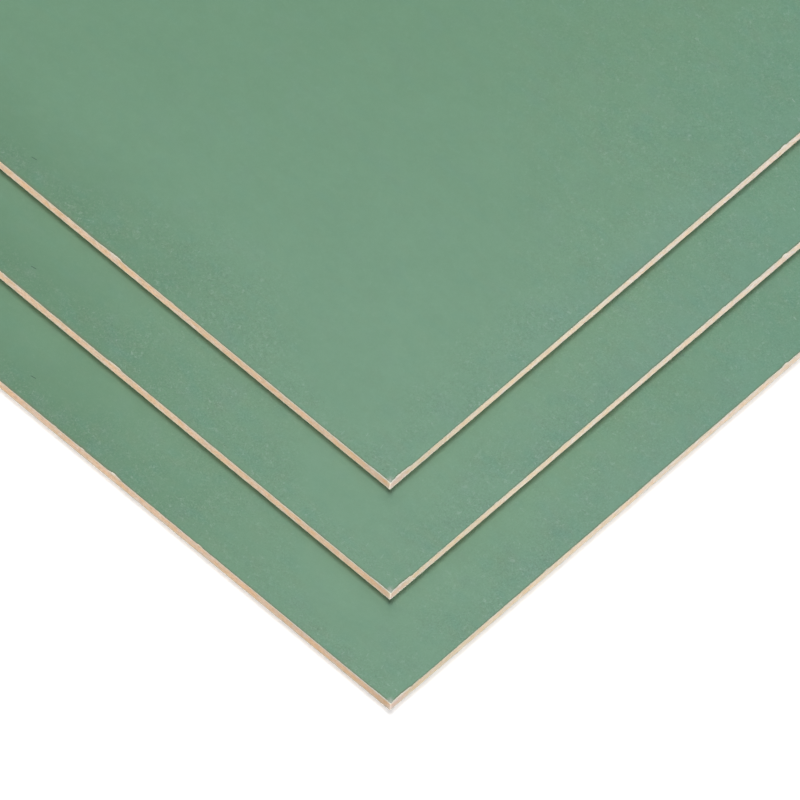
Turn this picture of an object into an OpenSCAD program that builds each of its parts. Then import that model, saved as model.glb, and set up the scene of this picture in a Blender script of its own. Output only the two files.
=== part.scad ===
// Three thin fibreboard sheets, faced in green on one side, laid flat and fanned out
// so that each sheet is set back from the front corner of the one below it.
// Millimetres. +Z is up, the floor is z = 0, and the origin is the middle of the
// footprint. The fanned corner points towards +X -Y.

/* [Sheet] */
// Length of each sheet along X
sheet_length = 300; // [200:1:610]
// Width of each sheet along Y
sheet_width = 300; // [200:1:610]
// Thickness of each sheet, with its coat
sheet_thickness = 3; // [2.5:0.1:6]
// Thickness of the green coat on the upper face
coat_thickness = 0.15; // [0.05:0.05:0.4]

/* [Eased edges] */
// How far the long upper and lower arrises are eased
arris_ease = 0.15; // [0.05:0.05:0.5]
// How far the four upright corner arrises are eased
corner_ease = 0.3; // [0.1:0.05:1]

/* [Fanned stack] */
// How far a sheet is set back along X from the sheet below it
setback_x = 20; // [1:0.5:60]
// How far a sheet is set back along Y from the sheet below it
setback_y = 21; // [1:0.5:60]

/* [Hidden] */
NODES = ["bottom_sheet", "middle_sheet", "top_sheet"];

board_colour = [0.87, 0.76, 0.64];
coat_colour = [0.46, 0.60, 0.51];

board_thickness = sheet_thickness - coat_thickness;
steps = len(NODES) - 1;
stack_length = sheet_length + steps * setback_x;
stack_width = sheet_width + steps * setback_y;

// A rectangle in the plane, centred on the origin, with its four corners cut at 45 degrees
module eased_rectangle(size_x, size_y, ease) {
    half_x = size_x / 2;
    half_y = size_y / 2;
    polygon([
        [half_x, half_y - ease],
        [half_x - ease, half_y],
        [ease - half_x, half_y],
        [-half_x, half_y - ease],
        [-half_x, ease - half_y],
        [ease - half_x, -half_y],
        [half_x - ease, -half_y],
        [half_x, ease - half_y],
    ]);
}

// The outer shape of one sheet, centred on the origin: where its plan, its side
// section and its end section meet, so that every arris is eased
module sheet_blank() {
    intersection() {
        linear_extrude(sheet_thickness, center = true)
            eased_rectangle(sheet_length, sheet_width, corner_ease);
        rotate([90, 0, 0])
            linear_extrude(sheet_width, center = true)
                eased_rectangle(sheet_length, sheet_thickness, arris_ease);
        rotate([90, 0, 90])
            linear_extrude(sheet_length, center = true)
                eased_rectangle(sheet_width, sheet_thickness, arris_ease);
    }
}

// The part of the blank that lies between two heights above its underside
module blank_slice(low, high) {
    intersection() {
        sheet_blank();
        translate([-sheet_length / 2, -sheet_width / 2, low - sheet_thickness / 2])
            cube([sheet_length, sheet_width, high - low]);
    }
}

// One sheet, lying on its bare underside with its lower face on z = 0. Board and
// coat are one piece: the coat is bonded on and its rim is the upper arris.
module coated_sheet() {
    translate([0, 0, sheet_thickness / 2])
        union() {
            color(board_colour) blank_slice(0, board_thickness);
            color(coat_colour) blank_slice(board_thickness, sheet_thickness);
        }
}

// Puts a sheet at its level in the fanned stack, level 0 on the floor
module at_level(level) {
    front_x = stack_length / 2 - level * setback_x;
    front_y = level * setback_y - stack_width / 2;
    translate([
        front_x - sheet_length / 2,
        front_y + sheet_width / 2,
        level * sheet_thickness,
    ])
        children();
}

module bottom_sheet() {
    at_level(0) coated_sheet();
}

module middle_sheet() {
    at_level(1) coated_sheet();
}

module top_sheet() {
    at_level(2) coated_sheet();
}

bottom_sheet();
middle_sheet();
top_sheet();
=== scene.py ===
# %% [markdown]
# # Three sheets of green-faced fibreboard, fanned on a table
#
# The stack is three thin square sheets. Each is pressed wood fibre with a thin green coat on its upper
# side. Nothing holds them together: they lie flat, and each is set back from the front corner of the one
# below. Such a plain thing lives in its edges and in its surface: the coat breaks off in small bites where
# the saw went through, and dust and loose fibre settle on the face.
#
# This script builds the looks around a model that was made beforehand in a CAD program. That model gives
# the size and the place of every sheet, so the first step is to load it and to measure it.

# %% Load the frame
import math
from collections import namedtuple

import bpy
import numpy as np
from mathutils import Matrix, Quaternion, Vector
from mathutils.geometry import delaunay_2d_cdt


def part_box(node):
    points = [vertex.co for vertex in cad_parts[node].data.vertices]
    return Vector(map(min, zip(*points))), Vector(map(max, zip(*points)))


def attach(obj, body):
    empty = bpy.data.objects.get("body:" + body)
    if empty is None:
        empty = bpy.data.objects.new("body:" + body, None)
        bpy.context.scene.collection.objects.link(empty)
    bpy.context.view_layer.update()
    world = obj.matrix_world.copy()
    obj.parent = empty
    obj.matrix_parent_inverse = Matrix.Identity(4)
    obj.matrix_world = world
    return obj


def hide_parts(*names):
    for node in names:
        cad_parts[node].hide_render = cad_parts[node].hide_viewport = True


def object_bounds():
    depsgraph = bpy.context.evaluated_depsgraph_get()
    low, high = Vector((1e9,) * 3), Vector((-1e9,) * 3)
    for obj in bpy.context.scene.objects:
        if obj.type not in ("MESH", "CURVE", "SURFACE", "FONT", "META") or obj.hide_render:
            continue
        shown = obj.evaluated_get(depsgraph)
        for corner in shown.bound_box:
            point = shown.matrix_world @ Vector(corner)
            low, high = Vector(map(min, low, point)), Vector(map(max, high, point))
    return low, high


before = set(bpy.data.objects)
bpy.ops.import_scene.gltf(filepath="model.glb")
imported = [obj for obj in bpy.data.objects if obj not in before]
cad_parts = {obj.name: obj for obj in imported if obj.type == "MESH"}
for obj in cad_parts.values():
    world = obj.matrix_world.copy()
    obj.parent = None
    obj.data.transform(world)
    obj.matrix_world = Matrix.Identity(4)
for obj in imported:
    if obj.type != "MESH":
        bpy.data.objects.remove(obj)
cad_low, cad_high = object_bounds()
print("CAD nodes:", sorted(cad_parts))
print("CAD box in metres:", [round(side, 4) for side in cad_high - cad_low])

# %% [markdown]
# ## Working in millimetres
#
# Blender counts in metres, but a joiner thinks of a 3 mm sheet in millimetres, and so does this lesson. `MM`
# turns sizes into metres at the moment a mesh is made. Only two large ones are written in metres: the reach
# of the floor and the distance of the camera.

# %% The size of one sheet
MM = 0.001
SHEETS = ("bottom_sheet", "middle_sheet", "top_sheet")
lowest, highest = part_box(SHEETS[0])
LENGTH, WIDTH, THICKNESS = (highest - lowest) / MM
ROUND = 2 * (LENGTH + WIDTH)
print(f"one sheet is {LENGTH:.1f} x {WIDTH:.1f} x {THICKNESS:.2f}, and {ROUND:.0f} round its rim")

# %% [markdown]
# ## Walking round the rim
#
# Almost all the shape of a sheet is in the last half millimetre along its rim. So the mesh is swept: a
# track of closely set stations runs once round the sheet, and at each station a short profile goes from
# the underside, up the sawn edge, over the broken coat and onto the face. A plain cube with a bevel would
# give a perfect edge, and no real saw leaves one.
#
# The track starts at the front corner, which is the origin of a sheet, and the sheet lies to the left of it
# (-X) and behind it (+Y). `place` answers one question for all stations at once: where is the point that
# lies `inset` in from the outline? Inside a corner the turn gets tighter as the inset grows, and then the
# whole corner moves in, so that the rows never cross each other.

# %% The track round a sheet
STATION_PITCH = 0.4
CORNER_TURNS = 6
CORNER_EASE = 0.3
TIGHTEST_TURN = 0.04
QUARTER_TURN = math.pi / 2
START = np.array([(0, 0), (-LENGTH, 0), (-LENGTH, WIDTH), (0, WIDTH)])
HEADING = np.array([(-1, 0), (0, 1), (1, 0), (0, -1)])
INWARD = np.roll(HEADING, -1, axis=0)
SPAN = np.array([LENGTH, WIDTH, LENGTH, WIDTH])


class Track:
    """The stations: the side that each is on, its share of that side, and its turn at a corner."""

    def __init__(self):
        side, share, turn = [], [], []
        for number, span in enumerate(SPAN):
            steps = round(span / STATION_PITCH)
            side += [number] * (steps + CORNER_TURNS)
            share += list(np.linspace(0, 1, steps + 1)) + [1.0] * (CORNER_TURNS - 1)
            turn += [0.0] * steps + list(np.linspace(0, QUARTER_TURN, CORNER_TURNS, endpoint=False))
        self.side = np.array(side)
        self.share = np.array(share)
        self.turn = np.array(turn)
        self.walked = np.cumsum(SPAN)[self.side] - SPAN[self.side] * (1 - self.share)

    def place(self, inset):
        """X and Y of every station at that distance in from the outline."""
        bend = np.maximum(CORNER_EASE - inset, TIGHTEST_TURN)
        lead = inset + bend
        along = lead + self.share * (SPAN[self.side] - 2 * lead) + bend * np.sin(self.turn)
        across = lead - bend * np.cos(self.turn)
        moved = HEADING[self.side] * along[:, None]
        return START[self.side] + moved + INWARD[self.side] * across[:, None]


track = Track()
STATIONS = len(track.side)
print("stations round the rim:", STATIONS)

# %% [markdown]
# ## Chance, kept on a lead
#
# Wear is random but never jagged: a bite has a width. The helpers below draw random heights at knots one
# `grain` apart and join them with smooth steps. Every draw comes from a seed, so the same sheet comes out
# of each run. A kind of roughness has a `stream` of its own, which is added to the seed of the sheet, so
# that no two kinds rise and fall together.

# %% Smooth random heights along the rim
Rough = namedtuple("Rough", "height grain stream")


def waver(grain, seed):
    """Values from 0 to 1, one for each station, that change over about one grain."""
    knots = np.random.default_rng(seed).random(int(ROUND / grain) + 2)
    at = track.walked / grain
    low = np.floor(at).astype(int)
    past = at - low
    ease = past ** 2 * (3 - 2 * past)
    return knots[low] * (1 - ease) + knots[low + 1] * ease


def heights(rough, seed):
    """Heights in millimetres, one for each station, of one kind of roughness."""
    return rough.height * waver(rough.grain, seed + rough.stream)


print("random heights at three stations:", waver(2.0, 1)[:3].round(2))

# %% [markdown]
# ## Where the coat has broken
#
# The coat is hard and the board under it is soft, so the coat flakes off in shell-shaped bites. The five
# large ones are named here: one on each front side, two at the front corner, which takes every knock, and a
# long shallow one where the right side was rubbed. Small ones are scattered by chance along all four sides.
#
# A bite has a place on the walk round the rim, a reach before and after it, and a depth. The reaches
# differ, because a flake runs out long on one side and ends short on the other.

# %% Bites in the coat
Bite = namedtuple("Bite", "at before after depth")
KNOWN_BITES = (
    Bite(at=89.0, before=1.9, after=2.3, depth=0.24),
    Bite(at=ROUND - 136.4, before=1.2, after=0.6, depth=0.19),
    Bite(at=ROUND - 3.4, before=3.4, after=3.4, depth=0.24),
    Bite(at=2.4, before=2.3, after=3.8, depth=0.11),
    Bite(at=ROUND - 165.0, before=60.0, after=80.0, depth=0.10),
)
SMALL_BITES = 80
SMALL_BITE_DEPTH = 0.11
SMALL_BITE_REACH = 1.1
SMALLEST_BITE = 0.25
LEAST_STRETCH = 0.6
LEAST_TAIL = 0.3


def small_bites(seed):
    """Bites of chance size at chance places."""
    draw = np.random.default_rng(seed)
    for _ in range(SMALL_BITES):
        size = SMALLEST_BITE + (1 - SMALLEST_BITE) * draw.random() ** 2
        before = SMALL_BITE_REACH * size * (LEAST_STRETCH + draw.random())
        at = draw.random() * ROUND
        after = before * (LEAST_TAIL + draw.random())
        yield Bite(at, before, after, SMALL_BITE_DEPTH * size)


print("small bites on a sheet:", len(list(small_bites(1))))

# %% [markdown]
# All bites are added to a slight raggedness that runs everywhere, because even a sound edge of the coat is
# not a ruled line. The floor of a bite is nibbled too: its depth wavers by a fifth either way.

# %% How far the coat has gone back
COAT_RAGGED = Rough(height=0.03, grain=1.3, stream=0)
COAT_FRAYED = Rough(height=0.02, grain=0.45, stream=1)
BITES_STREAM = 2
BITE_NIBBLED = Rough(height=0.4, grain=0.5, stream=3)
LEAST_NIBBLED = 0.8


def coat_set_back(seed):
    """How far the coat has gone back from the outline at each station."""
    gone = heights(COAT_RAGGED, seed) + heights(COAT_FRAYED, seed)
    nibbled = LEAST_NIBBLED + heights(BITE_NIBBLED, seed)
    for bite in (*KNOWN_BITES, *small_bites(seed + BITES_STREAM)):
        away = (track.walked - bite.at + ROUND / 2) % ROUND - ROUND / 2
        reach = np.where(away < 0, bite.before, bite.after)
        gone += bite.depth * nibbled * np.sqrt(np.clip(1 - (away / reach) ** 2, 0, 1))
    return gone


print("deepest bite:", round(float(coat_set_back(1).max()), 2))

# %% [markdown]
# ## The profile of the edge
#
# From below, a profile climbs over the lower arris, which is slightly crushed, up the sawn face, then leans
# in over the broken fibres to the foot of the coat, and steps up the coat's own thin side, the lip, to the
# face. Each row of the sweep knows its inset and its height at every station, and whether the strip above
# it is coat. Two more rows on the face, the rings, carry the distance from the rim inwards.
#
# Two numbers travel with the vertices as attributes, so that the finishes can follow the shape exactly:
# `from_rim` is the distance to the broken edge of the coat, and `broken` says how freshly the wood is torn.

# %% The sawn part of the profile
NOTHING = np.zeros(STATIONS)
Row = namedtuple("Row", "inset height coat from_rim broken", defaults=(False, NOTHING, NOTHING))
LOWER_ARRIS = 0.09
LEAST_CRUSHED = 0.5
ARRIS_LEAN = 0.3
SAWN_ROWS = 9
ARRIS_CRUSHED = Rough(height=1.0, grain=1.6, stream=10)
SAW_MARKS = Rough(height=0.015, grain=0.8, stream=11)
SAW_ROUGH = Rough(height=0.015, grain=0.6, stream=20)


def sawn_rows(seed, shoulder):
    """The rows from the underside up to the shoulder, where the torn fibre begins."""
    crushed = LOWER_ARRIS * (LEAST_CRUSHED + heights(ARRIS_CRUSHED, seed))
    marks = heights(SAW_MARKS, seed)
    rows = [Row(crushed, NOTHING), Row(marks + ARRIS_LEAN * crushed, ARRIS_LEAN * crushed)]
    for number, share in enumerate(np.linspace(0, 1, SAWN_ROWS)):
        height = crushed + share * (shoulder - crushed)
        rows.append(Row(marks + heights(SAW_ROUGH, seed + number), height))
    return rows


print("rows in the sawn part:", len(sawn_rows(1, THICKNESS)))

# %% [markdown]
# The shoulder sinks where the coat has gone back, so a bite has a floor that slopes outwards, as a flake
# that breaks off takes some fibre with it.

# %% The whole profile
COAT_LIP = 0.08
LIP_LEAN = 0.02
SHOULDER_DROP = 0.05
SHOULDER_SLOPE = 0.75
LEDGE_IN = 0.5
LEDGE_UP = 0.55
FULLY_TORN = 0.4
RIM_RINGS = (0.3, 1.2)
CRUMBLED = Rough(height=0.06, grain=0.5, stream=12)


def edge_rows(seed):
    """The rows from the underside to the flat face of the coat."""
    back = coat_set_back(seed)
    torn = np.clip(back / FULLY_TORN, 0, 1)
    foot = THICKNESS - COAT_LIP
    shoulder = foot - SHOULDER_DROP - SHOULDER_SLOPE * back
    rows = sawn_rows(seed, shoulder)
    ledge = shoulder + (LEDGE_UP - heights(CRUMBLED, seed)) * (foot - shoulder)
    rows.append(Row(LEDGE_IN * back, ledge))
    rows.append(Row(back, NOTHING + foot, coat=True, broken=torn))
    rows.append(Row(back + LIP_LEAN, NOTHING + THICKNESS, coat=True))
    for ring in RIM_RINGS:
        rows.append(Row(back + ring, NOTHING + THICKNESS, coat=True, from_rim=NOTHING + ring))
    return rows


print("rows in the profile:", len(edge_rows(1)))

# %% [markdown]
# ## Closing the sweep into a solid
#
# The sweep is a belt, closed by the face and the underside. A single polygon with three thousand corners
# shades badly. Instead, points are set inside, close together near the rim and far apart in the middle,
# and Blender's own Delaunay routine ties them into neat triangles.

# %% The flat lids
Ring = namedtuple("Ring", "inset every")
LID_RINGS = (Ring(3.0, 5), Ring(8.0, 16), Ring(18.0, 40))
LID_GRID = 15.0
ONLY_INSIDE = 1
MERGE_WITHIN = 1e-7


def lid(rim_places, rim_inset):
    """The inner points of a flat lid, and its triangles, whose corners count the rim's points first."""
    inner = []
    for ring in LID_RINGS:
        inner.append(track.place(np.full(STATIONS, rim_inset + ring.inset))[::ring.every])
    edge = rim_inset + LID_RINGS[-1].inset + LID_GRID / 2
    across = np.linspace(-LENGTH + edge, -edge, round((LENGTH - 2 * edge) / LID_GRID))
    deep = np.linspace(edge, WIDTH - edge, round((WIDTH - 2 * edge) / LID_GRID))
    inner.append(np.stack(np.meshgrid(across, deep), -1).reshape(-1, 2))
    points = np.concatenate([rim_places, *inner])
    vectors = [Vector(point) for point in points]
    outline = [list(range(len(rim_places)))]
    tied, _, triangles, *_ = delaunay_2d_cdt(vectors, [], outline, ONLY_INSIDE, MERGE_WITHIN)
    if len(tied) != len(points):
        raise ValueError("the lid's points were merged")
    return points[len(rim_places):], np.array(triangles)


print("inner rings of a lid:", [ring.inset for ring in LID_RINGS])

# %% [markdown]
# ## One sheet as a mesh
#
# Now the parts come together. Rows of stations become quads. A face is a list of vertex numbers that run
# anticlockwise as seen from outside. Each strip also gets the slot of its material, board or coat.

# %% The faces of the belt
BOARD, COAT = 0, 1


def belt_faces(rows):
    """The quads between the rows, and the material slot of each."""
    here = np.arange(STATIONS)
    after = np.roll(here, -1)
    faces, slots = [], []
    for number, row in enumerate(rows[:-1]):
        base = number * STATIONS
        above = base + STATIONS
        strip = np.column_stack([here + base, here + above, after + above, after + base])
        faces += strip.tolist()
        slots += [COAT if row.coat else BOARD] * STATIONS
    return faces, slots


print("quads in the belt:", len(belt_faces(edge_rows(1))[0]))

# %% [markdown]
# Then the lids are added, and the two numbers are written to the vertices. A lid counts its rim first, and
# those numbers are changed to the belt's own, so that both share their vertices and the mesh is closed. The
# origin goes to the sheet's front corner at the level of its underside, so that the finishes can read plain
# distances from that corner.

# %% Build the mesh of a sheet
SHARP_ANGLE = math.radians(40)
FAR_FROM_RIM = LENGTH
NOT_BROKEN = 0.0


def welded(lid_faces, first_rim, first_inner):
    """A lid's faces, counted in the vertices of the whole sheet."""
    return np.where(lid_faces < STATIONS, lid_faces + first_rim, lid_faces - STATIONS + first_inner)


def carry_numbers(mesh, rows, inner):
    """Writes from_rim and broken to the vertices of the rows and to the inner points of the lids."""
    for label, filler in (("from_rim", FAR_FROM_RIM), ("broken", NOT_BROKEN)):
        values = np.concatenate([*[getattr(row, label) for row in rows], np.full(inner, filler)])
        attribute = mesh.attributes.new(label, "FLOAT", "POINT")
        attribute.data.foreach_set("value", values.astype(np.float32))


def sheet_mesh(name, seed):
    """A closed mesh of one sheet, in metres, with its front corner at the origin."""
    rows = edge_rows(seed)
    belt = [np.column_stack([track.place(row.inset), row.height]) for row in rows]
    under_points, under_faces = lid(belt[0][:, :2], float(rows[0].inset.max()))
    upper_points, upper_faces = lid(belt[-1][:, :2], float(rows[-1].inset.max()))
    under_places = np.column_stack([under_points, np.zeros(len(under_points))])
    upper_places = np.column_stack([upper_points, np.full(len(upper_points), THICKNESS)])
    places = np.concatenate([*belt, under_places, upper_places]) * MM

    faces, slots = belt_faces(rows)
    first_under = STATIONS * len(rows)
    under = welded(under_faces, 0, first_under)
    upper = welded(upper_faces, first_under - STATIONS, first_under + len(under_points))
    faces += under[:, ::-1].tolist() + upper.tolist()
    slots += [BOARD] * len(under) + [COAT] * len(upper)

    mesh = bpy.data.meshes.new(name)
    mesh.from_pydata(places.tolist(), [], faces)
    mesh.polygons.foreach_set("material_index", slots)
    carry_numbers(mesh, rows, len(under_points) + len(upper_points))
    mesh.shade_smooth()
    mesh.set_sharp_from_angle(angle=SHARP_ANGLE)
    mesh.validate()
    return mesh


print("material slots of a sheet:", {"board": BOARD, "coat": COAT})

# %% [markdown]
# ## Writing a finish as arithmetic
#
# A finish is a graph of nodes. A small class wraps a socket, so that `1 - mask` or `noise * 0.5` adds the
# Math node that it stands for, and one method makes any other node. The word used most is `rise`: it turns
# any distance or noise into a soft mask.

# %% A socket that understands arithmetic
class Value:
    """One output of a node. Sums on it add Math nodes to its graph."""

    def __init__(self, graph, socket):
        self.graph = graph
        self.socket = socket

    def math(self, operation, *terms):
        """A Math node with those terms."""
        return self.graph.node("ShaderNodeMath", {"operation": operation}, dict(enumerate(terms)))

    def __add__(self, other):
        return self.math("ADD", self, other)

    def __sub__(self, other):
        return self.math("SUBTRACT", self, other)

    def __rsub__(self, other):
        return self.math("SUBTRACT", other, self)

    def __mul__(self, other):
        return self.math("MULTIPLY", self, other)

    def __truediv__(self, other):
        return self.math("DIVIDE", self, other)

    def __abs__(self):
        return self.math("ABSOLUTE", self)

    def least(self, other):
        """The smaller of the two."""
        return self.math("MINIMUM", self, other)

    def most(self, other):
        """The larger of the two."""
        return self.math("MAXIMUM", self, other)

    def rise(self, low, high):
        """0 below low, 1 above high, and a smooth step between. With low above high it falls."""
        ends = {"Value": self, "From Min": low, "From Max": high}
        return self.graph.node("ShaderNodeMapRange", {"interpolation_type": "SMOOTHSTEP"}, ends)

    __radd__ = __add__
    __rmul__ = __mul__


print("words of a value:", [word for word in vars(Value) if not word.startswith("_")])

# %% [markdown]
# The graph itself has the one method for nodes, and a few words that come up in every finish: mixing two
# colours, scaling a place, and cloudy noise. Noise is asked for by the size of its features in millimetres,
# because that can be measured on a real sheet.

# %% A graph of nodes
MIX_SHARE, MIX_FIRST, MIX_SECOND, MIX_RESULT = 0, 6, 7, 2


def rgba(colour):
    """Gives a plain colour its full alpha. A colour from a node stays as it is."""
    return colour if isinstance(colour, Value) else (*colour, 1.0)


class Graph:
    """A node tree, and the shortest way to add to it."""

    def __init__(self, tree):
        tree.nodes.clear()
        self.tree = tree

    def node(self, kind, settings=None, inputs=None, output=0):
        """Adds a node, sets it up, feeds its sockets, and returns one of its outputs."""
        made = self.tree.nodes.new(kind)
        for name, setting in (settings or {}).items():
            setattr(made, name, setting)
        for name, value in (inputs or {}).items():
            if isinstance(value, Value):
                self.tree.links.new(value.socket, made.inputs[name])
            else:
                made.inputs[name].default_value = value
        return Value(self, made.outputs[output]) if made.outputs else None

    def mix(self, share, first, second, blend="MIX"):
        """Goes from the first colour to the second as share goes from 0 to 1."""
        settings = {"data_type": "RGBA", "blend_type": blend, "clamp_factor": True}
        feed = {MIX_SHARE: share, MIX_FIRST: rgba(first), MIX_SECOND: rgba(second)}
        return self.node("ShaderNodeMix", settings, feed, MIX_RESULT)

    def part(self, vector, axis):
        """The X, Y or Z of a vector."""
        return self.node("ShaderNodeSeparateXYZ", None, {"Vector": vector}, axis)

    def facing(self, axis):
        """How far the surface looks along an axis, from -1 to 1."""
        return self.part(self.node("ShaderNodeTexCoord", output="Normal"), axis)

    def carried(self, label):
        """A number that the mesh carries."""
        return self.node("ShaderNodeAttribute", {"attribute_name": label}, output="Fac")

    def scaled(self, place, factors):
        """The place with each axis multiplied by its factor. A factor above 1 makes noise finer."""
        return self.node("ShaderNodeVectorMath", {"operation": "MULTIPLY"}, {0: place, 1: factors})

    def cloud(self, place, size, detail=2.0, warp=0.0, roughness=0.5):
        """Soft noise from 0 to 1 whose features are about size millimetres across."""
        feed = {"Vector": place, "Scale": 1 / size, "Detail": detail}
        feed.update({"Distortion": warp, "Roughness": roughness})
        return self.node("ShaderNodeTexNoise", None, feed)


print("words of a graph:", [word for word in vars(Graph) if not word.startswith("_")])

# %% [markdown]
# Three more shapes lie on the face: round dots of dust, curly hairs of loose fibre, and straight strokes
# for the few marks that have a place of their own. A dot is what lies within a radius of a point of a
# Voronoi grid. A hair is the line along which a warped cloud crosses its middle value, cut into lengths by
# a second cloud.

# %% Dots, hairs and strokes
DOT_SOFTNESS = 0.3
FAINT_DOTS = 0.9
MIDDLE = 0.5
HAIR_CURL = 1.2
HAIR_CUT_ACROSS = (1.0, 1.0, 3.0)
HAIR_CUT_SIZE = 0.8
HAIR_CUT_LOW, HAIR_CUT_HIGH, HAIR_CUT_SHARE = 0.62, 0.72, 0.3
STROKE_ENDS = (0.55, 0.35)
STROKE_SIDES = (0.6, 0.3)
Mark = namedtuple("Mark", "back_x back_y length width turn colour strength")


def dots(graph, place, spacing, radius, share):
    """Round dots of up to that radius, in a share of the cells of a loose grid."""
    feed = {"Vector": place, "Scale": 1 / spacing}
    away = graph.node("ShaderNodeTexVoronoi", None, feed, "Distance") * spacing
    chance = graph.node("ShaderNodeTexVoronoi", None, feed, "Color")
    chosen = graph.node("ShaderNodeSeparateColor", None, {"Color": chance}, "Red")
    size = chosen.rise(1 - share, 1) * radius
    disc = (away - size).rise(radius * DOT_SOFTNESS, -radius * DOT_SOFTNESS)
    return disc * chosen.rise(1 - share, 1 - share * FAINT_DOTS)


def hairs(graph, place, size, thickness, share):
    """Short curly hairs that wind about once in a size."""
    curl = graph.cloud(place, size, detail=1.0, warp=HAIR_CURL)
    line = abs(curl - MIDDLE).rise(thickness / size, 0)
    lengths = graph.cloud(graph.scaled(place, HAIR_CUT_ACROSS), size * HAIR_CUT_SIZE, detail=0.0)
    shorter = HAIR_CUT_SHARE * share
    return line * lengths.rise(HAIR_CUT_LOW - shorter, HAIR_CUT_HIGH - shorter)


def stroke(graph, place, mark):
    """1 on a short straight line that lies at the mark's place, and 0 elsewhere."""
    centre = (-mark.back_x, mark.back_y, 0.0)
    spin = {"Vector": place, "Center": centre, "Angle": math.radians(mark.turn)}
    turned = graph.node("ShaderNodeVectorRotate", {"rotation_type": "Z_AXIS"}, spin)
    along = abs(graph.part(turned, "X") + mark.back_x) / mark.length
    across = abs(graph.part(turned, "Y") - mark.back_y) / mark.width
    return along.rise(*STROKE_ENDS) * across.rise(*STROKE_SIDES)


print("a mark is given by:", Mark._fields)

# %% [markdown]
# Both finishes start from the same facts: where a point is on its sheet, how far it is from each side, and
# a shifted copy of the place for the noise, so that no two sheets carry the same flecks.

# %% Where a point lies on its sheet
Spot = namedtuple("Spot", "place shifted back_x back_y height from_front from_right")
SHIFT_REACH = 900
PER_MM = (1 / MM, 1 / MM, 1 / MM)


def locate(graph, seed):
    """Distances in millimetres, read from the object's own origin at the front corner."""
    place = graph.scaled(graph.node("ShaderNodeTexCoord", output="Object"), PER_MM)
    shift = tuple(np.random.default_rng(seed).uniform(-SHIFT_REACH, SHIFT_REACH, len(PER_MM)))
    shifted = graph.node("ShaderNodeVectorMath", {"operation": "ADD"}, {0: place, 1: shift})
    back_x = graph.part(place, "X") * -1
    back_y = graph.part(place, "Y")
    from_front = back_y.least(WIDTH - back_y)
    from_right = back_x.least(LENGTH - back_x)
    return Spot(place, shifted, back_x, back_y, graph.part(place, "Z"), from_front, from_right)


print("facts about a spot:", Spot._fields)

# %% [markdown]
# ## The green coat
#
# The coat is a thin, matt, factory-made film. From arm's length it is one green, and close to it is not. It
# pales a little towards the front corner, cools along the right side and darkens along the left. It has
# faint blotches of all sizes, and a felt of dust and short wood fibre has settled on it, most of it near
# the sawn edges where it came from.
#
# One noise over one green would look like painted stone. Instead, the colour is built up as the real one
# came about: the broad drift, then stains and blotches, then the litter on top, and last the rim where the
# saw went through. Each layer is a function that takes the colour so far and adds to it.

# %% Colours of the coat
NEAR_GREEN = (0.184, 0.328, 0.226)
FAR_GREEN = (0.158, 0.298, 0.190)
LEFT_GREEN = (0.137, 0.262, 0.164)
RIGHT_GREEN = (0.172, 0.316, 0.240)
LILAC = (0.180, 0.285, 0.245)
TEAL = (0.125, 0.300, 0.235)
REDDISH = (0.200, 0.290, 0.190)
DUST = (0.46, 0.56, 0.50)
SOOT = (0.070, 0.125, 0.090)
RIM_BROWN = (0.170, 0.215, 0.140)
RUBBED = (0.45, 0.48, 0.43)
print("green near the front corner and far from it:", NEAR_GREEN, FAR_GREEN)

# %% [markdown]
# The drift is drawn by distances from the front corner, the left side and the right side. A very large
# cloud pushes them about, so that no boundary runs straight. The pairs of numbers below are for `rise`: the
# distance at which a change has not begun, and the one at which it is complete.

# %% The broad drift of the green
DRIFT_SIZE = 45.0
FAR_PUSH, SIDE_PUSH = 30, 8
BACK_Y_WEIGHT = 0.8
FAR_SPAN = (9, 212)
LEFT_DEPTH, LEFT_SPAN = (30, -3), (10, 135)
RIGHT_DEPTH, RIGHT_BEGINS, RIGHT_ENDS = (15, -6), (-40, 140), (165, 100)
TEAL_DEPTH, TEAL_SPAN, TEAL_AMOUNT = (45, 15), (98, 142), 0.2


def drifting_green(graph, spot):
    """The coat's own colour over one sheet."""
    drift = graph.cloud(spot.shifted, DRIFT_SIZE) - MIDDLE
    away = spot.back_x + spot.back_y * BACK_Y_WEIGHT + drift * FAR_PUSH
    colour = graph.mix(away.rise(*FAR_SPAN), NEAR_GREEN, FAR_GREEN)
    left_zone = (spot.from_front + drift * SIDE_PUSH).rise(*LEFT_DEPTH) * spot.back_x.rise(*LEFT_SPAN)
    colour = graph.mix(left_zone, colour, LEFT_GREEN)
    right_side = (spot.from_right + drift * SIDE_PUSH).rise(*RIGHT_DEPTH)
    right_zone = right_side * spot.back_y.rise(*RIGHT_BEGINS) * spot.back_y.rise(*RIGHT_ENDS)
    colour = graph.mix(right_zone, colour, RIGHT_GREEN)
    teal_zone = spot.from_right.rise(*TEAL_DEPTH) * spot.back_y.rise(*TEAL_SPAN)
    return graph.mix(teal_zone * TEAL_AMOUNT, colour, TEAL)


print("the green drifts over", FAR_SPAN[1] - FAR_SPAN[0], "mm")

# %% [markdown]
# The felt gets a mask of its own, from almost nothing in the middle of the face to dense at the sides. On
# the right it is a band that widens away from the corner, and on the left it is narrow, with one broad
# place. Patches of cloud break it up.

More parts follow.
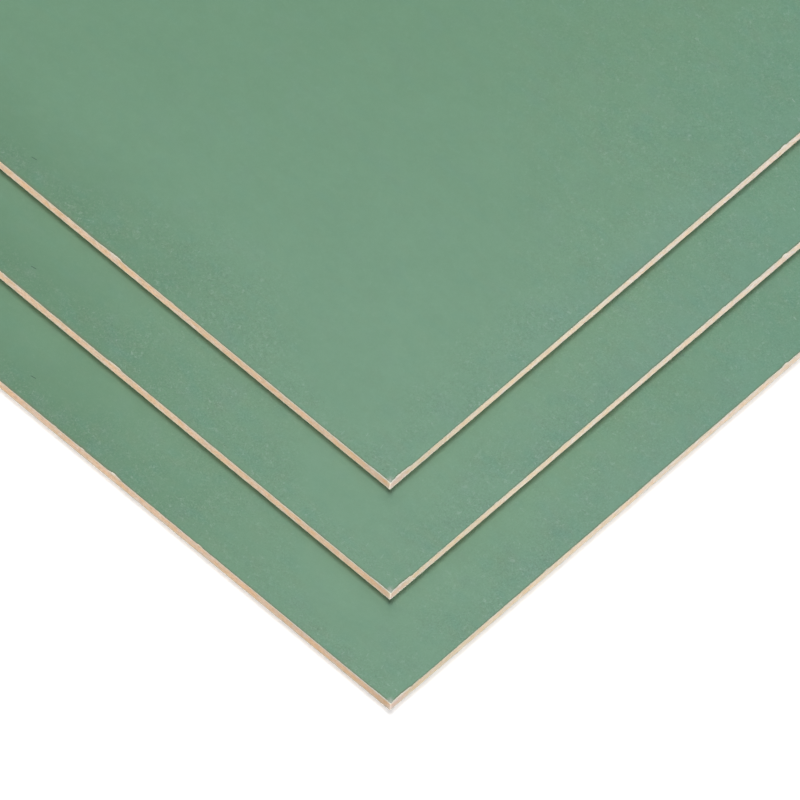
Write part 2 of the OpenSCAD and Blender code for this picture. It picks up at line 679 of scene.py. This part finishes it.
# %% How densely the felt lies
RIGHT_WIDENS, RIGHT_WIDER, RIGHT_REACH = (50, 145), 75, 17
RIGHT_GATHERS, RIGHT_GATHERED, RIGHT_LEAST = (2, 32), 0.42, 0.26
RIGHT_THINS, RIGHT_THINNED = (45, 80), 0.35
RIGHT_FRINGE = (1.3, 0.1)
LEFT_WIDENS, LEFT_NARROWS, LEFT_WIDER, LEFT_REACH = (30, 58), (118, 76), 20, 7
LEFT_FRINGE, LEFT_AMOUNT = (1.2, 0.3), 0.52
PATCH_SIZE, PATCH_EDGE, PATCH_SHARE, PATCH_LEAST = 8.0, (0.3, 0.6), 0.7, 0.3
FELT_EVERYWHERE = 0.08


def felt_density(spot, patches):
    """Near 0 on the clean middle of the face, and larger where dust and fibre lie denser."""
    right_reach = spot.back_y.rise(*RIGHT_WIDENS) * RIGHT_WIDER + RIGHT_REACH
    gathered = spot.back_y.rise(*RIGHT_GATHERS) * RIGHT_GATHERED + RIGHT_LEAST
    right_amount = gathered * (1 - spot.back_y.rise(*RIGHT_THINS) * RIGHT_THINNED)
    right_felt = (spot.from_right / right_reach).rise(*RIGHT_FRINGE) * right_amount
    broad_place = spot.back_x.rise(*LEFT_WIDENS) * spot.back_x.rise(*LEFT_NARROWS)
    left_reach = broad_place * LEFT_WIDER + LEFT_REACH
    left_felt = (spot.from_front / left_reach).rise(*LEFT_FRINGE) * LEFT_AMOUNT
    broken_up = patches.rise(*PATCH_EDGE) * PATCH_SHARE + PATCH_LEAST
    return right_felt.most(left_felt) * broken_up + FELT_EVERYWHERE


print("reach of the felt on the right:", RIGHT_REACH, "to", RIGHT_REACH + RIGHT_WIDER, "mm")

# %% [markdown]
# Stains are patches of another hue, given by tint, size and stretch. Blotches, given by tint and size, are
# the same green a hair deeper or paler: they multiply the colour by numbers near one. Six sizes of blotch,
# each nearly twice the last, leave no size that the eye could pick out.

# %% Stains and blotches
STAINS = ((LILAC, 7.0, 1.0), (TEAL, 6.0, 1.5), (REDDISH, 6.5, 2.0))
STAIN_EDGE, STAIN_ON_FELT, STAIN_LEAST = (0.5, 0.75), 0.26, 0.06
DEEPER = (0.979, 0.983, 0.979)
PALER = (1.014, 1.013, 1.014)
BLOTCHES = ((DEEPER, 1.6), (PALER, 2.6), (DEEPER, 5.0), (PALER, 9.0), (DEEPER, 17.0), (PALER, 28.0))
BLOTCH_EDGE, BLOTCH_ON_FELT, BLOTCH_LEAST = (0.4, 0.6), 0.5, 0.6
BLOTCH_FACTORS = (1.0, -1.2, 1.0)


def stained_and_blotched(graph, spot, felted, colour):
    """The colour with patches of other hues and faint uneven places."""
    for tint, size, stretch in STAINS:
        stain = graph.cloud(graph.scaled(spot.shifted, (1.0, stretch, 1.0)), size, detail=1.0)
        share = stain.rise(*STAIN_EDGE) * (felted * STAIN_ON_FELT + STAIN_LEAST)
        colour = graph.mix(share, colour, tint)
    for tint, size in BLOTCHES:
        blotch = graph.cloud(graph.scaled(spot.shifted, BLOTCH_FACTORS), size, detail=1.0)
        share = blotch.rise(*BLOTCH_EDGE) * (felted * BLOTCH_ON_FELT + BLOTCH_LEAST)
        colour = graph.mix(share, colour, tint, "MULTIPLY")
    return colour


print(len(STAINS), "kinds of stain and", len(BLOTCHES), "sizes of blotch")

# %% [markdown]
# The litter is what lies on the film: a fine fleece, pale felted hairs, longer stray ones, dark fuzz, pale
# dust and dark specks. Each kind reads the noise at its own scale or mirrored, by a negative factor, so
# that no two kinds fall on the same spots.

# %% The litter on the face
Litter = namedtuple("Litter", "fleece felt fuzz strays dust soot")
FIBRE = 0.075
FLATTENED, MIRRORED = (1.0, 1.0, 2.0), (-1.0, 1.0, 1.0)
LENGTHENED, MIRRORED_TWICE = (0.6, 1.0, 1.0), (-1.0, -0.7, 1.0)


def make_litter(graph, spot):
    """A mask for each kind of litter."""
    place = spot.shifted
    flattened, mirrored = graph.scaled(place, FLATTENED), graph.scaled(place, MIRRORED)
    lengthened, twice = graph.scaled(place, LENGTHENED), graph.scaled(place, MIRRORED_TWICE)
    return Litter(
        fleece=graph.cloud(place, 0.45, detail=2.0, warp=0.9, roughness=0.6),
        felt=hairs(graph, place, size=0.65, thickness=FIBRE, share=0.4),
        fuzz=hairs(graph, flattened, size=0.6, thickness=FIBRE, share=0.6),
        strays=hairs(graph, mirrored, size=1.4, thickness=FIBRE, share=0.08),
        dust=dots(graph, lengthened, spacing=1.6, radius=0.125, share=0.24),
        soot=dots(graph, twice, spacing=1.9, radius=0.15, share=0.26),
    )


print("kinds of litter:", Litter._fields)

# %% [markdown]
# Strewing the litter is a chain of mixes, of pale kinds and dark kinds, each scaled by the density of the
# felt. Dust is the least bound to it, and also reaches the clean middle of the face.
#
# Nine marks come last. They have places of their own, because they are what the eye finds first on a
# sheet: one dark scratch near the left side, and eight pale fibres near the front corner and the right.

# %% Strewing the litter and the marks
FLEECE_PALE, FLEECE_DARK = (0.5, 0.8), (0.5, 0.2)
DUST_ON_FELT, DUST_LEAST, DUST_AMOUNT = 0.9, 0.04, 0.38
MARKS = (
    Mark(121.7, 6.4, 1.6, 0.26, -10, SOOT, 0.8),
    Mark(4.9, 135.8, 0.8, 0.24, -5, DUST, 0.22),
    Mark(7.4, 147.9, 1.1, 0.28, 10, DUST, 0.32),
    Mark(13.2, 6.0, 1.2, 0.22, -105, DUST, 0.20),
    Mark(8.5, 6.1, 1.4, 0.22, -105, DUST, 0.20),
    Mark(6.7, 3.6, 1.5, 0.22, -32, DUST, 0.16),
    Mark(4.0, 3.4, 0.9, 0.24, -26, DUST, 0.22),
    Mark(1.8, 3.7, 0.9, 0.24, -6, DUST, 0.28),
    Mark(17.6, 2.3, 1.3, 0.22, -88, DUST, 0.20),
)


def strewn(graph, spot, litter, felted, colour):
    """The colour with the litter and the nine marks on it."""
    layers = (
        (litter.fleece.rise(*FLEECE_PALE), 0.09, DUST),
        (litter.fleece.rise(*FLEECE_DARK), 0.12, SOOT),
        (litter.felt, 0.22, DUST),
        (litter.strays, 0.40, DUST),
        (litter.fuzz, 0.36, SOOT),
        (litter.soot, 0.90, SOOT),
    )
    for shape, amount, tint in layers:
        colour = graph.mix(shape * felted * amount, colour, tint)
    dusty = litter.dust * (felted * DUST_ON_FELT + DUST_LEAST) * DUST_AMOUNT
    colour = graph.mix(dusty, colour, DUST)
    for mark in MARKS:
        colour = graph.mix(stroke(graph, spot.place, mark) * mark.strength, colour, mark.colour)
    return colour


print("marks with a place of their own:", len(MARKS))

# %% [markdown]
# Along the rim the film is scuffed thin, and the board shows through it as a fine brown line, which follows
# the broken edge exactly, because it reads the `from_rim` numbers of the mesh. It is narrower on the right
# near the corner and wider far along the left. The very corner is rubbed pale.

# %% The rim of the coat
RIM_WIDTH, RIM_AMOUNT = 0.5, 0.85
NARROW_BEGINS, NARROW_ENDS, NARROWER = (4, 12), (50, 30), 0.2
WIDE_BEGINS, WIDER = (78, 100), 0.35
CRUMB_SIZE, CRUMB_PUSH = 0.5, 1.6
RUBBED_REACH, RUBBED_AMOUNT = (2.6, 1.2), 0.75


def rimmed(graph, spot, colour):
    """The colour with the brown line along the rim and the rubbed corner."""
    narrower = spot.back_y.rise(*NARROW_BEGINS) * spot.back_y.rise(*NARROW_ENDS) * NARROWER
    wider = spot.back_x.rise(*WIDE_BEGINS) * WIDER
    scuffed = (graph.carried("from_rim") / (wider - narrower + RIM_WIDTH)).rise(1, 0)
    colour = graph.mix(scuffed * RIM_AMOUNT, colour, RIM_BROWN)
    crumbs = graph.cloud(spot.shifted, CRUMB_SIZE)
    to_corner = spot.from_front.most(spot.from_right)
    rubbed = (to_corner + crumbs * CRUMB_PUSH).rise(*RUBBED_REACH)
    return graph.mix(rubbed * RUBBED_AMOUNT, colour, RUBBED)


print("the brown line is about", RIM_WIDTH, "mm wide")

# %% [markdown]
# The film is matt, so it is rough and reflects little. The litter and a very fine skin also lift the
# surface through a Bump node, by up to a few hundredths of a millimetre. The node counts in metres, hence
# the `MM`.

# %% The green coat as a material
SKIN_SIZE, SKIN_SHARE, FELT_SHARE = 0.35, 0.25, 0.6
COAT_BUMP, COAT_RELIEF = 0.3, 0.03
COAT_ROUGHNESS, PATCH_ROUGHNESS, FELT_ROUGHNESS = 0.68, 0.10, 0.1
COAT_SPECULAR = 0.12


def new_finish(name):
    """A new material and the empty graph of its nodes."""
    material = bpy.data.materials.new(name)
    material.use_nodes = True
    return material, Graph(material.node_tree)


def surfaced(graph, colour, roughness, specular, lift):
    """Ends a graph in a Principled surface whose normal comes from a bump."""
    sockets = {
        "Base Color": colour,
        "Roughness": roughness,
        "Specular IOR Level": specular,
        "Normal": graph.node("ShaderNodeBump", None, lift),
    }
    surface = graph.node("ShaderNodeBsdfPrincipled", None, sockets)
    graph.node("ShaderNodeOutputMaterial", None, {"Surface": surface})


def coat_finish(name, seed):
    """The matt green film on the upper side, with the dust and fibre that lie on it."""
    material, graph = new_finish(name)
    spot = locate(graph, seed)
    patches = graph.cloud(spot.shifted, PATCH_SIZE, detail=3.0)
    felted = felt_density(spot, patches)
    litter = make_litter(graph, spot)
    colour = drifting_green(graph, spot)
    colour = stained_and_blotched(graph, spot, felted, colour)
    colour = strewn(graph, spot, litter, felted, colour)
    colour = rimmed(graph, spot, colour)

    skin = graph.cloud(spot.shifted, SKIN_SIZE, detail=3.0)
    relief = (litter.fleece + litter.felt * FELT_SHARE + litter.dust) * felted + skin * SKIN_SHARE
    lift = {"Strength": COAT_BUMP, "Distance": COAT_RELIEF * MM, "Height": relief}
    matt = patches * PATCH_ROUGHNESS + COAT_ROUGHNESS + litter.felt * felted * FELT_ROUGHNESS
    surfaced(graph, colour, matt, COAT_SPECULAR, lift)
    print(name, "has", len(graph.tree.nodes), "nodes")
    return material


# %% [markdown]
# ## The bare board
#
# Where the saw went through, the board shows: pressed fibre, the colour of pale biscuit. The two pairs of
# sides are given different colours: those that look along X paler and cooler, those that look along Y
# warmer and more orange. The finish tells them apart by the normal, which says which way a face looks. The
# lowest sheet lies on paper, while the other two lie on a coat that throws green light up at their edges.
# So its sawn edges get a slight painted green that stands in for that bounced light.
#
# The first nine colours are mixed in as they are. The rest, and those of the clumps that follow, are tints:
# they multiply what is there, so a number above one makes that part of the colour stronger.

# %% Colours of the board
WARM_CUT = (0.799, 0.558, 0.388)
ORANGE_CUT = (0.628, 0.415, 0.267)
ROSY_CUT = (0.686, 0.535, 0.399)
PALE_CUT = (0.864, 0.694, 0.567)
CRUSHED = (0.61, 0.66, 0.60)
PALE_CRUSHED = (0.82, 0.78, 0.68)
ARRIS = (0.76, 0.66, 0.57)
TORN = (0.92, 0.86, 0.74)
DARK_FIBRE = (0.46, 0.30, 0.20)
ROSIER = (1.04, 0.935, 1.18)
YELLOWER = (0.985, 1.04, 0.73)
NO_PAINTED_BOUNCE = (1.0, 1.0, 1.0)
# a painted green over the lowest sheet's sawn edges, standing in for green light bounced up from a coat
# below
PAINTED_BOUNCE_TINTS = {"bottom_sheet": (0.985, 1.035, 1.0)}
NEAR_PALER, FAR_PALER = (0, 12), (0, 90)
CROSS_PALER = (-25, 60)
CROSS_YELLOWER, YELLOWER_AMOUNT = (130, 30), 0.2
CORNER_ROSIER, ROSIER_AMOUNT = (7, 4), 0.6


def cut_colour(graph, spot, across, bounce_tint):
    """The plain colour of the sawn sides, times the painted bounce tint. Across is 1 on the sides that look
    along X, and 0 on the rest.
    """
    paler = (spot.back_x.rise(*NEAR_PALER) + spot.back_x.rise(*FAR_PALER)) * 0.5
    along = graph.mix(paler, ORANGE_CUT, WARM_CUT)
    cross = graph.mix(spot.back_y.rise(*CROSS_PALER), ROSY_CUT, PALE_CUT)
    yellower = spot.back_y.rise(*CROSS_YELLOWER) * YELLOWER_AMOUNT
    cross = graph.mix(yellower, cross, YELLOWER, "MULTIPLY")
    rosier = spot.back_y.rise(*CORNER_ROSIER) * ROSIER_AMOUNT
    cross = graph.mix(rosier, cross, ROSIER, "MULTIPLY")
    # the last multiply is the painted bounce tint, a colour that stands in for green light from a coat below
    return graph.mix(1.0, graph.mix(across, along, cross), bounce_tint, "MULTIPLY")


print("colours cut along and across:", WARM_CUT, PALE_CUT)

# %% [markdown]
# Fibreboard is wood that was cooked to wool and pressed, so its cut is mottled: cream, orange and reddish
# clumps, from half a millimetre to six. Fibres lie flat in the board, so every clump is longer than it is
# tall. Stretching the place that the noise reads, by a factor on its height, is all that this takes. The
# table goes from coarse to fine, and gives the tint, the size and the amount of each layer.

# %% Clumps of fibre
CREAMIER = (0.985, 1.07, 1.24)
ORANGER = (1.0, 0.92, 0.75)
REDDER = (1.07, 0.995, 0.96)
DARKER = (0.92, 0.915, 0.91)
LIGHTER = (1.07, 1.075, 1.08)
CLUMPS = (
    (CREAMIER, 5.0, 0.5), (ORANGER, 4.0, 0.5), (REDDER, 6.0, 0.7), (DARKER, 4.5, 0.6),
    (CREAMIER, 2.8, 0.9), (ORANGER, 2.4, 0.9), (REDDER, 2.1, 0.8), (DARKER, 1.9, 0.8), (LIGHTER, 1.7, 0.8),
    (CREAMIER, 1.4, 1.3), (ORANGER, 1.2, 1.3), (REDDER, 1.1, 1.0),
    (CREAMIER, 0.9, 1.3), (DARKER, 0.75, 1.3), (LIGHTER, 0.65, 1.3),
)
CLUMP_EDGE, CLUMPED_ALONG, LESS_ACROSS = (0.47, 0.60), 0.75, 0.15
KNOT_FACTORS, KNOT_SIZE, KNOT_EDGE = (1.0, 1.0, 1.9), 1.1, (0.49, 0.62)
KNOTTED_ALONG, FEWER_ACROSS = 0.5, 0.28


def clumped(graph, spot, across, colour):
    """The colour with clumps of fibre of every size, and small orange knots."""
    mottled = CLUMPED_ALONG - across * LESS_ACROSS
    for number, (tint, size, amount) in enumerate(CLUMPS):
        flatter = (1.0, 1.0, 1 + (number + 1) / size)
        clump = graph.cloud(graph.scaled(spot.shifted, flatter), size)
        share = clump.rise(*CLUMP_EDGE) * mottled * amount
        colour = graph.mix(share, colour, tint, "MULTIPLY")
    knots = graph.cloud(graph.scaled(spot.shifted, KNOT_FACTORS), KNOT_SIZE)
    share = knots.rise(*KNOT_EDGE) * (KNOTTED_ALONG - across * FEWER_ACROSS)
    return graph.mix(share, colour, ORANGE_CUT)


print("layers of clumps:", len(CLUMPS))

# %% [markdown]
# Single strands come on top, dark ones and torn pale ones. Along both arrises the fibre is crushed, and
# crushed fibre is paler. The upright edge at a corner has an arris of its own, and at its tip it is torn.
# Where a bite has taken the coat off, the freshly torn wood is palest of all: the `broken` numbers of the
# mesh say where that is.

# %% Strands, crushed arrises and torn wood
STRAND_DARK, STRAND_PALE = (0.48, 0.30), (0.55, 0.72)
DARK_ALONG, DARK_LESS_ACROSS, PALE_STRANDS = 0.38, 0.14, 0.40
FRAY = 0.2
UPPER_BAND, LOWER_BAND = (0.8, 0.2), (0.9, 0.2)
UPPER_NEAR, UPPER_MORE, UPPER_LEAST = (75, 15), 0.3, 0.55
LOWER_NEAR, LOWER_MORE, LOWER_LEAST = (30, 10), 0.35, 0.42
CORNER_PALE, CORNER_PALE_AMOUNT = (1.5, 0.3), 0.2
CORNER_ARRIS, CORNER_ARRIS_AMOUNT = (0.34, 0.2), 0.6
CORNER_TORN, CORNER_TORN_AMOUNT = (1.6, 0.4), 0.8
BITE_TORN, BITE_TORN_AMOUNT = (0.05, 0.5), 0.75


def stranded(graph, strands, across, colour):
    """The colour with single strands, dark and pale."""
    dark = strands.rise(*STRAND_DARK) * (DARK_ALONG - across * DARK_LESS_ACROSS)
    colour = graph.mix(dark, colour, DARK_FIBRE)
    return graph.mix(strands.rise(*STRAND_PALE) * PALE_STRANDS, colour, TORN)


def crushed_and_torn(graph, spot, strands, across, colour):
    """The colour with paler fibre along the arrises, at the corner and in the bites."""
    fray = strands * FRAY
    upper = (THICKNESS - spot.height + fray).rise(*UPPER_BAND)
    lower = (spot.height + fray).rise(*LOWER_BAND)
    upper_share = (1 - across) * spot.back_x.rise(*UPPER_NEAR) * UPPER_MORE + UPPER_LEAST
    lower_share = across * spot.back_y.rise(*LOWER_NEAR) * LOWER_MORE + LOWER_LEAST
    colour = graph.mix(upper * upper_share, colour, CRUSHED)
    colour = graph.mix(lower * lower_share, colour, graph.mix(across, CRUSHED, PALE_CRUSHED))
    to_corner = spot.from_front.most(spot.from_right) + fray
    pale = to_corner.rise(*CORNER_PALE) * (1 - across) * CORNER_PALE_AMOUNT
    colour = graph.mix(pale, colour, PALE_CRUSHED)
    colour = graph.mix(to_corner.rise(*CORNER_ARRIS) * CORNER_ARRIS_AMOUNT, colour, ARRIS)
    colour = graph.mix(to_corner.rise(*CORNER_TORN) * upper * CORNER_TORN_AMOUNT, colour, TORN)
    return graph.mix(graph.carried("broken").rise(*BITE_TORN) * BITE_TORN_AMOUNT, colour, TORN)


print("crushed fibre is paler up to", UPPER_BAND[0], "mm from the upper arris")

# %% [markdown]
# The underside is the same board, not sawn but pressed against a plate, so it is smoother and browner: a
# tangled mat with loose hairs. The normal shows which faces look down, so it needs no slot of its own.

# %% The bare board as a material
UNDER_TAN = (0.56, 0.42, 0.28)
UNDER_DARK = (0.40, 0.28, 0.17)
LOOKS_SIDEWAYS, LOOKS_DOWN = (0.35, 0.75), (0.4, 0.2)
MAT_SIZE, MAT_EDGE = 0.9, (0.35, 0.65)
MAT_HAIR_AMOUNT = 0.4
STRAND_FACTORS, STRAND_SIZE = (1.0, 1.0, 2.4), 0.45
BOARD_BUMP, BOARD_RELIEF = 0.6, 0.05
BOARD_ROUGHNESS, STRAND_SMOOTHER = 0.95, 0.15
BOARD_SPECULAR = 0.15


def with_underside(graph, spot, colour):
    """The colour, changed to a tangled mat on the faces that look down."""
    mat = graph.cloud(spot.shifted, MAT_SIZE, detail=4.0, warp=1.0, roughness=0.7)
    plain = graph.mix(mat.rise(*MAT_EDGE), UNDER_DARK, UNDER_TAN)
    loose = hairs(graph, spot.shifted, size=1.4, thickness=0.10, share=0.8)
    plain = graph.mix(loose * MAT_HAIR_AMOUNT, plain, CRUSHED)
    return graph.mix(abs(graph.facing("Z") + 1).rise(*LOOKS_DOWN), colour, plain)


def board_finish(name, seed, bounce_tint):
    """Sawn edges and underside of the pressed fibre, with a slight painted tint over the sawn edges that
    stands in for bounced light.
    """
    material, graph = new_finish(name)
    spot = locate(graph, seed)
    across = abs(graph.facing("X")).rise(*LOOKS_SIDEWAYS)
    lying = graph.scaled(spot.shifted, STRAND_FACTORS)
    strands = graph.cloud(lying, STRAND_SIZE, detail=4.0, warp=0.6, roughness=0.65)
    colour = cut_colour(graph, spot, across, bounce_tint)
    colour = clumped(graph, spot, across, colour)
    colour = stranded(graph, strands, across, colour)
    colour = crushed_and_torn(graph, spot, strands, across, colour)
    colour = with_underside(graph, spot, colour)

    lift = {"Strength": BOARD_BUMP, "Distance": BOARD_RELIEF * MM, "Height": strands}
    surfaced(graph, colour, BOARD_ROUGHNESS - strands * STRAND_SMOOTHER, BOARD_SPECULAR, lift)
    print(name, "has", len(graph.tree.nodes), "nodes")
    return material


# %% [markdown]
# ## Three sheets in their places
#
# Each detailed sheet takes the place of its plain CAD twin, which stays in the file for collisions but is
# no longer shown. The place comes from the twin's own box, so nothing is measured twice. Every sheet has a
# seed of its own, so its nicks, clumps and dust are its own as well.

# %% Put the sheets down
SEED_STEP = 100
BOARD_STREAM, COAT_STREAM = 1, 2


def in_scene(name, data):
    """A new object with that mesh, lamp or camera, linked to the scene."""
    made = bpy.data.objects.new(name, data)
    bpy.context.scene.collection.objects.link(made)
    return made


for number, node in enumerate(SHEETS, start=1):
    seed = SEED_STEP * number
    low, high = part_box(node)
    name = node.replace("sheet", "faced_board")
    piece = in_scene(name, sheet_mesh(name, seed))
    # the painted bounce tint of this sheet: green on the lowest, none on the others
    bounce_tint = PAINTED_BOUNCE_TINTS.get(node, NO_PAINTED_BOUNCE)
    board = board_finish(f"sawn fibreboard {number}", seed + BOARD_STREAM, bounce_tint)
    coat = coat_finish(f"green coat {number}", seed + COAT_STREAM)
    piece.data.materials.append(board)
    piece.data.materials.append(coat)
    piece.location = (high.x, low.y, low.z)
    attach(piece, "root")
    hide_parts(node)
    triangles = sum(len(face.vertices) - 2 for face in piece.data.polygons)
    print(name, "has", triangles, "triangles")

# %% [markdown]
# ## Floor
#
# The stack lies on a plain pale floor. To the camera and to reflections the floor glows a little on top of
# what it receives, so that it reads as white paper while the shadow of the stack stays on it. It hands on
# less light than it shows, or it would wash out the sawn edge of the lowest sheet from below.

# %% The floor
FLOOR_REACH = 12.0
FLOOR_SEEN = (0.80, 0.80, 0.80)
FLOOR_HANDED_ON = (0.22, 0.22, 0.22)
FLOOR_GLOW = 0.45
CORNERS = ((-1, -1), (1, -1), (1, 1), (-1, 1))


def seen_directly(graph):
    """1 for rays from the camera, from a reflection or through glass, and 0 for the rest."""
    camera_ray = graph.node("ShaderNodeLightPath", output="Is Camera Ray")
    glossy_ray = graph.node("ShaderNodeLightPath", output="Is Glossy Ray")
    clear_ray = graph.node("ShaderNodeLightPath", output="Is Transmission Ray")
    return camera_ray.most(glossy_ray).most(clear_ray)


paper, graph = new_finish("white paper floor")
seen = seen_directly(graph)
shade = graph.mix(seen, FLOOR_HANDED_ON, FLOOR_SEEN)
matt = graph.node("ShaderNodeBsdfDiffuse", None, {"Color": shade})
glow = graph.node("ShaderNodeEmission", None, {"Strength": seen * FLOOR_GLOW})
both = graph.node("ShaderNodeAddShader", None, {0: matt, 1: glow})
graph.node("ShaderNodeOutputMaterial", None, {"Surface": both})

ground = bpy.data.meshes.new("floor")
ground.from_pydata([(x * FLOOR_REACH, y * FLOOR_REACH, 0.0) for x, y in CORNERS], [], [(0, 1, 2, 3)])
ground.materials.append(paper)
floor = in_scene("floor", ground)
floor.location.z = cad_low.z
print("the floor is", 2 * FLOOR_REACH, "metres square")

# %% [markdown]
# ## Light
#
# In a studio, flat goods like this are lit by a key lamp from above and behind, which makes the faces
# bright and lays a soft dark line under each front edge. A second lamp, low behind the stack, draws that
# line out a little. A low lamp in front lights the sawn edges, which the others leave in the dark, and only
# grazes the faces. The world adds an even fill.
#
# All three are suns. A sun's strength divided by pi is the level at which it shows a white card that faces
# it. The levels of the two lamps behind are given as the faces of the sheets receive them, so each is
# multiplied by the length of its direction, whose height is one. All lamps and the fill together come to
# about one on the faces.

# %% Lamps and world
KEY_LEVEL, KEY_TOWARDS, KEY_SPREAD = 0.656, Vector((-0.327, 0.323, 1.0)), math.radians(22.3)
BACK_LEVEL, BACK_TOWARDS, BACK_SPREAD = 0.165, Vector((-1.03, 1.03, 1.0)), math.radians(36.7)
FRONT_LEVEL, FRONT_SPREAD = 1.31, math.radians(16)
FRONT_BEARING, FRONT_ELEVATION = math.radians(45), math.radians(4.75)
FILL = 0.06
WHITE = (1.0, 1.0, 1.0)


def direction(bearing, elevation):
    """The way to look for a lamp or a camera: a bearing from the front to the right, and a height."""
    flat = math.cos(elevation)
    return Vector((math.sin(bearing) * flat, -math.cos(bearing) * flat, math.sin(elevation)))


def sun(name, towards, level, spread):
    """A sun lamp that shines from the given direction."""
    lamp = bpy.data.lights.new(name, "SUN")
    lamp.energy = level * math.pi
    lamp.angle = spread
    in_scene(name, lamp).rotation_euler = towards.to_track_quat("Z", "Y").to_euler()


sun("key from behind", KEY_TOWARDS, KEY_LEVEL * KEY_TOWARDS.length, KEY_SPREAD)
sun("low from behind", BACK_TOWARDS, BACK_LEVEL * BACK_TOWARDS.length, BACK_SPREAD)
sun("low front", direction(FRONT_BEARING, FRONT_ELEVATION), FRONT_LEVEL, FRONT_SPREAD)

world = bpy.data.worlds.new("studio")
world.use_nodes = True
bpy.context.scene.world = world
graph = Graph(world.node_tree)
strength = seen_directly(graph) * (1 - FILL) + FILL
sky = graph.node("ShaderNodeBackground", None, {"Color": rgba(WHITE), "Strength": strength})
graph.node("ShaderNodeOutputWorld", None, {"Surface": sky})
bpy.context.scene.view_settings.view_transform = "Standard"
on_faces = KEY_LEVEL + BACK_LEVEL + FRONT_LEVEL * math.sin(FRONT_ELEVATION) + FILL
print("level of light on the faces:", round(on_faces, 2))

# %% [markdown]
# ## Camera
#
# Flat goods are often shown from far away through a very long lens, so that their edges stay parallel. The
# camera looks down on the front corner and is rolled a little, which stands the corner upright. It aims at
# a place on the lowest underside, measured from the front corner.

# %% The camera
LENS = 1650.0
SENSOR = 36.0
BEARING = math.radians(36.93)
ELEVATION = math.radians(56.30)
ROLL = math.radians(7.41)
DISTANCE = 8.645
SEES_TO = DISTANCE * 3
AIM_FROM_CORNER = Vector((-58.06, 65.45, 0.0)) * MM

low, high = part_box(SHEETS[0])
aim = Vector((high.x, low.y, low.z)) + AIM_FROM_CORNER
back = direction(BEARING, ELEVATION)
lens = bpy.data.cameras.new("camera")
lens.lens = LENS
lens.sensor_width = SENSOR
lens.clip_end = SEES_TO
camera = in_scene("camera", lens)
camera.rotation_mode = "QUATERNION"
camera.rotation_quaternion = back.to_track_quat("Z", "Y") @ Quaternion((0, 0, 1), ROLL)
camera.location = aim + back * DISTANCE
bpy.context.scene.camera = camera
print("width seen at the aim, in millimetres:", round(SENSOR / LENS * DISTANCE / MM, 1))

# %% [markdown]
# ## The size of the stack
#
# The detailed stack must not be bigger than the CAD model.
